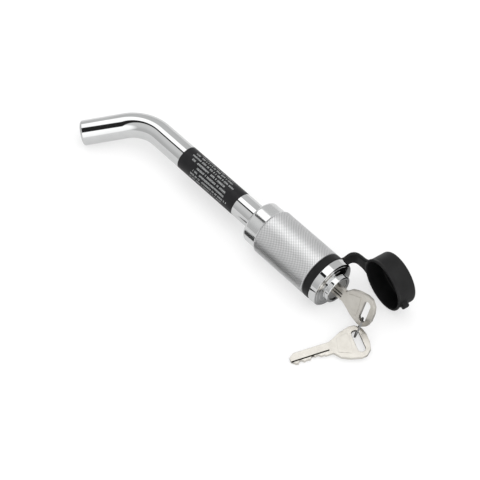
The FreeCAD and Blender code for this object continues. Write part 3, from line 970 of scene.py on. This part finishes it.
def flatPlate(name, loops, thickness, bevel):
    curve = bpy.data.curves.new(name, "CURVE")
    curve.dimensions = "2D"
    curve.fill_mode = "BOTH"
    curve.extrude = thickness / 2 - bevel
    curve.bevel_depth = bevel
    curve.bevel_resolution = 2
    curve.offset = -bevel
    for loop in loops:
        spline = curve.splines.new("POLY")
        spline.points.add(len(loop) - 1)
        spline.use_cyclic_u = True
        for point, target in zip(loop, spline.points):
            target.co = (point.x, point.y, 0, 1)
    holder = bpy.data.objects.new(name, curve)
    bpy.context.scene.collection.objects.link(holder)
    bpy.context.view_layer.update()
    filled = holder.evaluated_get(bpy.context.evaluated_depsgraph_get())
    flat = bpy.data.meshes.new_from_object(filled)
    bpy.data.objects.remove(holder)
    bm = bmesh.new()
    bm.from_mesh(flat)
    bmesh.ops.remove_doubles(bm, verts=bm.verts, dist=1e-4)
    bmesh.ops.recalc_face_normals(bm, faces=bm.faces)
    return meshObject(bm, name)


def flatKey(name, place):
    spec = key
    blank = flatPlate(name, keyLoops(), spec["thickness"], spec["bevel"])
    padThickness = spec["thickness"] + 2 * spec["padHeight"]
    pad = flatPlate(name + "Pad", [roundedOutline(spec["pad"])], padThickness, spec["padBevel"])
    bars = bmesh.new()
    for face, height in spec["grooves"]:
        made = bmesh.ops.create_cube(bars, size=1.0)["verts"]
        reach, over = spec["grooveEnd"], spec["grooveOver"]
        size = (reach + over, spec["grooveWidth"], spec["grooveDepth"] * 2)
        middle = (reach - over) / 2
        bmesh.ops.scale(bars, verts=made, vec=size)
        bmesh.ops.translate(bars, verts=made, vec=(middle, height, face * spec["thickness"] / 2))
    cutter = meshObject(bars, name + "Cutter")
    for tool, operation in ((cutter, "DIFFERENCE"), (pad, "UNION")):
        boolean = blank.modifiers.new(tool.name, "BOOLEAN")
        boolean.operation = operation
        boolean.solver = "EXACT"
        boolean.object = tool
    applyModifiers(blank)
    for tool in (cutter, pad):
        bpy.data.objects.remove(tool)
    # marks the groove floors for the painted shade in the nickel
    recess = blank.data.attributes.new("recess", "FLOAT", "POINT")
    level = (spec["thickness"] / 2 - spec["grooveDepth"] * spec["paintedShadeShare"]) * mm
    for vert, value in zip(blank.data.vertices, recess.data):
        value.value = 1.0 if abs(vert.co.z) < level else 0.0
    blank.data.transform(Matrix.Scale(mm, 4) @ place @ Matrix.Scale(1 / mm, 4))
    smoothShade(blank, 30.0)
    return blank


def buildKeys():
    roll = Matrix.Rotation(math.radians(key["lockRoll"]), 4, "X")
    heading = Matrix.Rotation(math.radians(key["spareHeading"]), 4, "Z")
    pitch = Matrix.Rotation(math.radians(key["sparePitch"]), 4, "Y")
    inLock = Matrix.Translation(key["lockTip"]) @ roll
    lying = Matrix.Translation(key["spareTip"]) @ heading @ pitch
    finishPiece(flatKey("lockKey", inLock), nickel, ["lock_key"], "key")
    finishPiece(flatKey("spareKey", lying), nickel, ["spare_key"], "spare")


splitRing = {
    "mean": 6.0,
    "wire": 0.86,
    "wireRound": 0.16,
    "height": 0.5,  # of one turn
    "gap": 0.015,
    "turns": 1.94,
    "steps": 150,
    "normal": (0.866, 0.440, -0.237),
    "centre": (90.12, -5.16, -8.50),
}


def buildSplitRing():
    spec = splitRing
    bm = bmesh.new()
    bmesh.ops.create_grid(bm, x_segments=1, y_segments=1, size=0.5)
    bmesh.ops.scale(bm, verts=bm.verts, vec=(spec["height"], spec["wire"], 1.0))
    bmesh.ops.bevel(bm, geom=bm.verts[:], offset=spec["wireRound"], offset_type="OFFSET",
                    affect="VERTICES", segments=3, profile=0.5, material=-1)
    pitch = spec["height"] + spec["gap"]
    bmesh.ops.translate(bm, verts=bm.verts, vec=(-pitch * spec["turns"] / 2, spec["mean"], 0))
    geom = bm.faces[:]
    advance = Vector((pitch * spec["turns"] / spec["steps"], 0, 0))
    bmesh.ops.spin(bm, geom=geom, cent=(0, 0, 0), axis=(1, 0, 0), dvec=advance,
                   angle=math.tau * spec["turns"], steps=spec["steps"],
                   use_merge=False, use_duplicate=False)
    bmesh.ops.recalc_face_normals(bm, faces=bm.faces)
    turn = Vector((1, 0, 0)).rotation_difference(Vector(spec["normal"])).to_matrix().to_4x4()
    piece = meshObject(bm, "splitRing", Matrix.Translation(spec["centre"]) @ turn)
    smoothShade(piece, 40.0)
    finishPiece(piece, ringChrome, ["key_ring"], "ring")


# painted shade: sheets lying on the floor that only reflections see, darkening the chrome where it
# reflects the floor round the head
paintedShadeCards = {
    "black": ((-24.0, -95.0), (44.0, -30.0), 0.01),  # corners on the floor and grey level of the painted shade
    "grey": ((58.0, -14.0), (120.0, 60.0), 0.45),
}
cardLift = 0.2  # above the floor
floorReach = 2500


def flatSheet(name, low, high, z):
    bm = bmesh.new()
    bmesh.ops.create_grid(bm, x_segments=1, y_segments=1, size=0.5)
    bmesh.ops.scale(bm, verts=bm.verts, vec=(high[0] - low[0], high[1] - low[1], 1.0))
    bmesh.ops.translate(bm, verts=bm.verts, vec=((low[0] + high[0]) / 2, (low[1] + high[1]) / 2, z))
    return meshObject(bm, name)


def addFloor():
    level = cadBounds[0][2] / mm
    floor = flatSheet("floor", (-floorReach, -floorReach), (floorReach, floorReach), level)
    floor.data.materials.append(floorMaterial())
    for name, (low, high, shade) in paintedShadeCards.items():
        card = flatSheet(name + "PaintedShadeCard", low, high, level + cardLift)
        card.data.materials.append(newMaterial(name + "PaintedShadeCard", (shade, shade, shade), 0.0, 0.9)[0])
        # seen only in reflections, as painted shade
        card.visible_camera = False
        card.visible_diffuse = False
        card.visible_shadow = False


buildPin()
buildLabel()
buildCollar()
buildKnurl()
buildHousing()
buildBoot()
buildKeys()
buildSplitRing()
addFloor()

carried = {
    "machined": (machined, ["ball_cage", "cage_dowel", "cam_cup", "drive_tail", "tail_screw",
                            "housing_snap_ring", "plug_clip", "wafer_springs"]),
    "bearing": (bearing, ["locking_ball_1", "locking_ball_2", "anti_drill_pins"]),
    "plug": (plugNickel, ["lock_plug"]),
    "brass": (brass, [f"wafer_{index}" for index in range(1, 6)]),
    "rubber": (rubber, ["mouth_seal", "housing_seal", "plug_seal"]),
}
for material, nodeNames in carried.values():
    for nodeName in nodeNames:
        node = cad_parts[nodeName]
        if not node.material_slots:
            node.data.materials.append(material)
        for materialSlot in node.material_slots:
            materialSlot.material = material
print("carried nodes finished")
